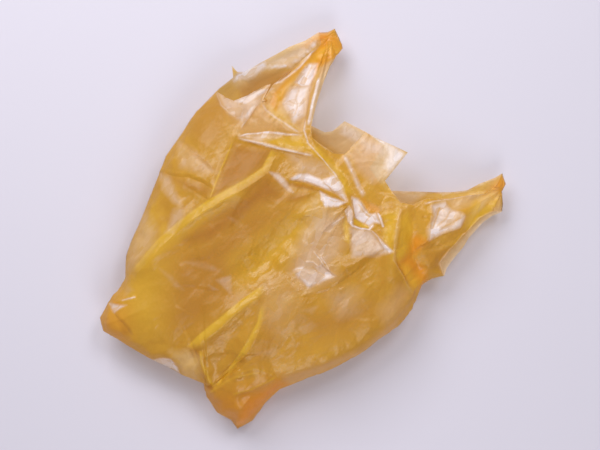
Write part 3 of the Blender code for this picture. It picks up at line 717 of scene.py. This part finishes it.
def random_crease(turn, half_length, bend, steep, long, height):
    """A crest or groove in a random place, straight unless it has a bend."""
    middle = rng.uniform((bag_low.x, bag_low.y), (bag_high.x, bag_high.y))
    angle = LENGTHWISE + rng.normal(0.0, turn)
    half = rng.uniform(*half_length) * np.array((math.cos(angle), math.sin(angle)))
    kink = [middle + rng.uniform(-bend, bend, 2)] if bend else []
    reaches = rng.permutation((rng.uniform(*steep), rng.uniform(*long)))
    return crease((middle - half, *kink, middle + half), rng.uniform(*height) * rng.choice((-1.0, 1.0)), *reaches)


for number, *shape in RANDOM_CREASES:
    for _ in range(number):
        crumple += random_crease(*shape)

# %% [markdown]
# The tight film and the slopes beside the long folds are calmed: there the crumples lose a share of their height.

# %% Calm film
CALM_EDGE = 0.006
CALM_PATCHES = (
    (PLEAT, 1.0), (((188, 120), (226, 108), (234, 138), (208, 200), (186, 186), (212, 172), (182, 140)), 0.9),
    (((276, 150), (264, 164), (244, 176), (222, 188), (204, 198), (180, 214), (156, 234), (132, 264), (146, 268),
      (162, 248), (184, 230), (210, 212), (238, 196), (268, 178)), 0.85),
    (((196, 344), (258, 296), (266, 300), (262, 330), (222, 386), (210, 384)), 0.7),
    (((262, 276), (272, 284), (256, 300), (230, 320), (206, 340), (190, 348), (196, 334), (226, 310),
      (246, 292)), 0.85),
    (((234, 143), (272, 148), (262, 168), (214, 198)), 0.6),
)

calm = np.ones(len(plan))
for pixels, share in CALM_PATCHES:
    within, distance = inside(photo_line(pixels), plan)
    calm *= 1.0 - share * within * faces_up * np.clip(distance / CALM_EDGE, 0.0, 1.0)
crumple *= busy * calm
print("mean share of the crumples that is kept:", round(float((busy * calm).mean()), 2))

# %% [markdown]
# The creases that the photograph shows are added, with the shapes given above. On the back sheet, which is seen
# from inside, a crest towards the camera is a move against the film's outward side.

# %% Creases of the photograph
END_FADE = 0.15


def drawn_crease(pixels, shape):
    """A crease of the photograph, from its pixels and its shape in millimetres."""
    return crease(photo_line(pixels), *(length / MM_PER_M for length in shape), END_FADE)


for pixels, *shape in FRONT_CREASES:
    crumple += np.where(faces_up, drawn_crease(pixels, shape), 0.0)
for pixels, *shape in BACK_CREASES:
    crumple -= np.where(faces_up, 0.0, drawn_crease(pixels, shape))

# %% [markdown]
# Where the film is drawn together it falls into pleats that fan out from one point: at the tips of the handles, at
# the star of creases and at the tuck in the bottom seal. A row gives the point, the two directions between which
# the fan opens in degrees, the number of pleats, their height, how far out they are full and where they end, and a
# seed.

# %% Gathers
LEFT_TIP = (331, 36)
RIGHT_TIP = (505, 188)
TUCK = (208, 388)
GATHERS = (
    (LEFT_TIP, 225.0, 330.0, 11, 0.0034, 0.014, 0.150, 21),
    (RIGHT_TIP, 205.0, 300.0, 9, 0.0034, 0.014, 0.150, 22),
    (TUCK, 60.0, 170.0, 8, 0.0024, 0.008, 0.110, 23),
    (STAR, 190.0, 350.0, 9, 0.0018, 0.006, 0.075, 24),
)


def gathers(centre, start, end, number, height, near, far, seed):
    """Pleats that run from a gathered point like the ribs of a fan, between two directions given in degrees."""
    rng = np.random.default_rng(seed)
    away = plan - centre
    distance = np.hypot(away[:, 0], away[:, 1])
    angle = np.degrees(np.arctan2(away[:, 1], away[:, 0]))
    turn = (angle - start) % 360.0
    spread = (end - start) % 360.0
    edges = np.concatenate(([0.0], np.sort(rng.uniform(0.0, spread, number)), [spread]))
    heights = rng.uniform(0.5, 1.0, number + 2) * np.where(np.arange(number + 2) % 2, 1.0, -1.0)
    heights[0] = heights[-1] = 0.0
    wave = np.interp(turn, edges, heights, left=0.0, right=0.0)
    strength = np.clip(distance / near, 0.0, 1.0) * np.clip((far - distance) / (far - near), 0.0, 1.0)
    return height * wave * strength


for pixel, *fan in GATHERS:
    crumple += gathers(from_photo(pixel), *fan)
print("crumpled by up to", round(float(np.abs(crumple).max()) * 1000, 1), "mm")

# %% [markdown]
# The heights become real moves of the points, straight out of the film. Film that lies on the floor doesn't move,
# the side folds move less, and nothing goes below the floor.

# %% Move the points
RESTING = 0.0015
FLOOR_CLEARANCE = 0.004
FOLD_SHARE = 0.3

off_floor = np.clip((points[:, 2] - RESTING) / FLOOR_CLEARANCE, 0.0, 1.0) * np.where(on_fold, FOLD_SHARE, 1.0)
moved = points + normals * (crumple * off_floor)[:, None]

# %% [markdown]
# A few flat facets catch a lamp and shine nearly white in the photograph. Each is a small plane here, drawn by its
# corners in pixels, and turned towards half way between the camera and the lamp that it mirrors.

# %% Shining facets
KEY_LAMP = (-0.70, 1.30, 1.50)
WINDOW_LAMP = (0.60, 0.95, 1.70)
FILL_LAMP = (0.30, -1.40, 1.30)
FACET_RIM = 0.0070
FACET_SHARE = 0.75
FACET_LIFT = 0.0020


def lamp_place(shares):
    """A lamp's place, from how far it is to the picture's right, how far up in the picture, and how high."""
    return right * shares[0] + upward * shares[1] + Vector((0.0, 0.0, shares[2]))


def shining_facet(pixels, lamp):
    """Turns the upper film inside an outline of pixels towards a plane that mirrors a lamp into the camera."""
    within, distance = inside(photo_line(pixels), plan)
    within &= faces_up
    middle = np.append(plan[within].mean(axis=0), moved[within, 2].mean())
    to_camera = (camera.location - Vector(middle)).normalized()
    to_lamp = (lamp_place(lamp) - Vector(middle)).normalized()
    mirror = (to_camera + to_lamp).normalized()
    away = plan[within] - middle[:2]
    plane = middle[2] - (away[:, 0] * mirror.x + away[:, 1] * mirror.y) / mirror.z
    share = FACET_SHARE * np.clip(distance[within] / FACET_RIM, 0.0, 1.0)
    moved[within, 2] += np.clip(share * (plane - moved[within, 2]), -FACET_LIFT, FACET_LIFT)
    return int(within.sum())


FACETS = (
    (STRIP, WINDOW_LAMP), (WAVE_LEFT, WINDOW_LAMP), (WAVE_RIGHT, WINDOW_LAMP), (WEDGE, WINDOW_LAMP),
    (STAR_TOP, WINDOW_LAMP), (STAR_FIELD, WINDOW_LAMP), (PALE_FIELD, WINDOW_LAMP), (STRAP_HIGH, KEY_LAMP),
    (STRAP_LOW, KEY_LAMP), (GUSSET_BAND, KEY_LAMP), (RIGHT_HIGH, WINDOW_LAMP), (SEAL_HIGH, FILL_LAMP),
)
print("points in shining facets:", [shining_facet(pixels, lamp) for pixels, lamp in FACETS])

# %% [markdown]
# The finest facets come last, so that the flat ones aren't quite flat either. They are strongest under the painted
# highlights. The points then go back into the mesh, with the tones as values.

# %% Finest facets
FINE_NETS = ((103, 0.015, 0.00105), (104, 0.009, 0.00035))
HIGHLIGHT_NETS = ((105, 0.0085, 0.00075),)
HIGHLIGHT_GAIN = 2.0
LOWEST = 0.0001

fine = busy * sum(height * facet_net(seed, spacing) for seed, spacing, height in FINE_NETS)
highlight_crumple = sum(height * facet_net(seed, spacing) for seed, spacing, height in HIGHLIGHT_NETS)
fine += highlight_crumple * np.clip(HIGHLIGHT_GAIN * tones["painted_highlight"], 0.0, 1.0)
moved += normals * (fine * calm * off_floor)[:, None]
moved[:, 2] = np.maximum(moved[:, 2], LOWEST)
for corner, place in zip(film.verts, moved):
    corner.co = place

film_mesh = bpy.data.meshes.new("bag_film")
film.to_mesh(film_mesh)
film.free()
bag_film = add_object("bag_film", film_mesh)
film_mesh.shade_smooth()
for name, values in tones.items():
    film_mesh.attributes.new(name, "FLOAT", "POINT").data.foreach_set("value", values.astype(np.float32))
print("film mesh:", len(film_mesh.vertices), "points,", len(film_mesh.polygons), "triangles")

# %% [markdown]
# The film is amber. Part of the light goes straight through each layer, part is spread back to the eye, and part is
# spread on through the film, so places with more layers look deeper in colour. A thin clear gloss lies over that.
#
# These helpers make shader nodes, whose inputs are plain values or what other nodes give.

# %% Helpers for the material
material = bpy.data.materials.new("amber_film")
material.use_nodes = True
nodes = material.node_tree.nodes
links = material.node_tree.links
nodes.clear()


def feed(socket, value):
    """Gives a socket a number, a colour or another node's output."""
    if isinstance(value, bpy.types.NodeSocket):
        links.new(value, socket)
    else:
        socket.default_value = value


def node(kind, **values):
    """A shader node with its sockets fed, by their names."""
    made = nodes.new(kind)
    for name, value in values.items():
        feed(made.inputs[name.replace("_", " ")], value)
    return made


def attribute(name):
    made = nodes.new("ShaderNodeAttribute")
    made.attribute_name = name
    return made.outputs["Fac"]


def calculate(operation, *values):
    made = nodes.new("ShaderNodeMath")
    made.operation = operation
    for socket, value in zip(made.inputs, values):
        feed(socket, value)
    return made.outputs["Value"]


def spread_out(value, low, high, **limits):
    """A number moved into the range from low to high."""
    return node("ShaderNodeMapRange", Value=value, To_Min=low, To_Max=high, **limits).outputs["Result"]


def blend_colour(share, low, high):
    """A colour between two others."""
    mix = nodes.new("ShaderNodeMix")
    mix.data_type = "RGBA"
    for socket, value in ((mix.inputs["Factor"], share), (mix.inputs[6], low), (mix.inputs[7], high)):
        feed(socket, value)
    return mix.outputs[2]


def blend_light(share, first, second):
    """Two ways in which a surface gives off light, mixed."""
    mix = node("ShaderNodeMixShader", Fac=share)
    feed(mix.inputs[1], first)
    feed(mix.inputs[2], second)
    return mix.outputs["Shader"]


# %% [markdown]
# The colour starts as amber and takes the tones one after the other: painted shade, the paler single layer, the
# orange of several layers, painted light and painted highlights. Soft clouds and small cells, drawn out along the
# bag, make the amber uneven. The cells make the painted highlights patchy too, so that no two small facets look
# alike.

# %% Colour of the film
AMBER = (0.75, 0.440, 0.055, 1.0)
ORANGE = (0.88, 0.38, 0.030, 1.0)
# Brown of the painted shade, also used for the random mottle of the amber.
SHADE_AND_MOTTLE_BROWN = (0.53, 0.245, 0.028, 1.0)
# Yellow of the painted light along the folds.
PAINTED_LIGHT_YELLOW = (0.93, 0.62, 0.056, 1.0)
PALE = (0.88, 0.66, 0.46, 1.0)
# Whitish colour of the painted highlights.
HIGHLIGHT_WHITE = (0.98, 0.93, 0.98, 1.0)
ALONG_THE_BAG = (1.0, 0.5, 1.0)
CLOUD_STRENGTH = 0.28
CELL_STRENGTH = 0.16
LEAST_WHITE = 0.55
MOST_WHITE = 1.15

place = node("ShaderNodeTexCoord")
stretch = node("ShaderNodeMapping", Vector=place.outputs["Object"], Scale=ALONG_THE_BAG).outputs["Vector"]
clouds = node("ShaderNodeTexNoise", Vector=stretch, Scale=34.0, Detail=5.0, Roughness=0.6, Distortion=1.5)
cells = node("ShaderNodeTexVoronoi", Vector=stretch, Scale=135.0)
cell_value = node("ShaderNodeSeparateColor", Color=cells.outputs["Color"])
cloudiness = spread_out(clouds.outputs["Fac"], 0.0, CLOUD_STRENGTH, From_Min=0.42, From_Max=0.72)
uneven = calculate("MULTIPLY_ADD", cell_value.outputs["Red"], CELL_STRENGTH, cloudiness)
painted_shade = attribute("painted_shade")
thin = attribute("thin")
patchy = spread_out(cell_value.outputs["Green"], LEAST_WHITE, MOST_WHITE)
# Share of painted highlight, made patchy by the cells.
highlight_share = calculate("MULTIPLY", patchy, attribute("painted_highlight"))

# Painted shade, and the random clouds and cells, darken the amber towards brown.
tone = blend_colour(calculate("MAXIMUM", uneven, painted_shade), AMBER, SHADE_AND_MOTTLE_BROWN)
tone = blend_colour(thin, tone, PALE)
tone = blend_colour(attribute("layers"), tone, ORANGE)
# Painted light turns the colour yellow.
tone = blend_colour(attribute("painted_light"), tone, PAINTED_LIGHT_YELLOW)
tone = blend_colour(highlight_share, tone, HIGHLIGHT_WHITE)

# %% [markdown]
# The smallest wrinkles are finer than the mesh, so they are a bump in the material, made of cells inside cells. The
# slopes with painted shade are more like satin, or they would glitter. Light passes straight through a single layer
# most easily, and least through film with a painted highlight.

# %% Film material
WRINKLE_HEIGHT = 0.0022
WRINKLE_STRENGTH = 0.38
GLOSSY = 0.31
SATIN = 0.52
SHINE = 0.70
SPREAD_ON = 0.40
CLEAR_TINT = (1.0, 0.84, 0.44, 1.0)
THROUGH_FILM = 0.24
THROUGH_THIN = 0.46
THROUGH_HIGHLIGHT = 0.35

wrinkles = node("ShaderNodeTexVoronoi", Vector=stretch, Scale=62.0, Detail=2.0, Roughness=0.55, Lacunarity=2.3)
bump = node("ShaderNodeBump", Height=wrinkles.outputs["Distance"], Strength=WRINKLE_STRENGTH,
            Distance=WRINKLE_HEIGHT).outputs["Normal"]
gloss = node("ShaderNodeBsdfPrincipled", Base_Color=tone, Roughness=spread_out(painted_shade, GLOSSY, SATIN), Normal=bump,
             Specular_IOR_Level=SHINE)
through = node("ShaderNodeBsdfTranslucent", Color=tone, Normal=bump)
clear = node("ShaderNodeBsdfTransparent", Color=CLEAR_TINT)
body = blend_light(SPREAD_ON, gloss.outputs["BSDF"], through.outputs["BSDF"])
clearness = calculate("MULTIPLY", spread_out(thin, THROUGH_FILM, THROUGH_THIN),
                      spread_out(highlight_share, 1.0, THROUGH_HIGHLIGHT))
node("ShaderNodeOutputMaterial", Surface=blend_light(clearness, body, clear.outputs["BSDF"]))
film_mesh.materials.append(material)
print("film material:", len(nodes), "nodes")

# %% [markdown]
# The floor is plain and pale, a hair below the bag.

# %% Floor
FLOOR_COLOUR = (0.60, 0.57, 0.66, 1.0)
FLOOR_ROUGHNESS = 0.9
FLOOR_HALF = 6.0
FLOOR_DROP = 0.0005

floor_mesh = bpy.data.meshes.new("floor")
floor_shape = bmesh.new()
bmesh.ops.create_grid(floor_shape, x_segments=1, y_segments=1, size=FLOOR_HALF)
floor_shape.to_mesh(floor_mesh)
floor_shape.free()
floor = add_object("floor", floor_mesh)
floor.location = (0.0, 0.0, -FLOOR_DROP)
floor_material = bpy.data.materials.new("pale_floor")
floor_material.use_nodes = True
floor_material.node_tree.nodes["Principled BSDF"].inputs["Base Color"].default_value = FLOOR_COLOUR
floor_material.node_tree.nodes["Principled BSDF"].inputs["Roughness"].default_value = FLOOR_ROUGHNESS
floor_mesh.materials.append(floor_material)

# %% [markdown]
# A large soft lamp stands past the top left of the picture, where the photograph's light comes from. A smaller one
# at the top right gives the flat facets their shine. A weak one below the picture lights the bottom seal, and the
# world fills the shadows.

# %% Light
LAMPS = (("key_lamp", KEY_LAMP, 1.3, 35.0), ("window_lamp", WINDOW_LAMP, 0.6, 12.0),
         ("fill_lamp", FILL_LAMP, 0.9, 12.0))
WORLD_COLOUR = (1.0, 1.0, 1.0, 1.0)
WORLD_STRENGTH = 0.28


def soft_lamp(name, shares, size, power):
    """A square lamp that looks at the middle of the bag."""
    lamp_data = bpy.data.lights.new(name, "AREA")
    lamp_data.shape = "SQUARE"
    lamp_data.size = size
    lamp_data.energy = power
    lamp = add_object(name, lamp_data)
    lamp.location = lamp_place(shares)
    lamp.rotation_euler = (-lamp.location).to_track_quat("-Z", "Y").to_euler()


for lamp in LAMPS:
    soft_lamp(*lamp)
world = bpy.data.worlds.new("world")
world.use_nodes = True
world.node_tree.nodes["Background"].inputs["Color"].default_value = WORLD_COLOUR
world.node_tree.nodes["Background"].inputs["Strength"].default_value = WORLD_STRENGTH
bpy.context.scene.world = world
bpy.context.scene.view_settings.view_transform = "Standard"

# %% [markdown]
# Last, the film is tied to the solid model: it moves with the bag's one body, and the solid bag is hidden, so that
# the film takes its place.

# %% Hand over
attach(bag_film, "root")
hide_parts(BAG_NODE)
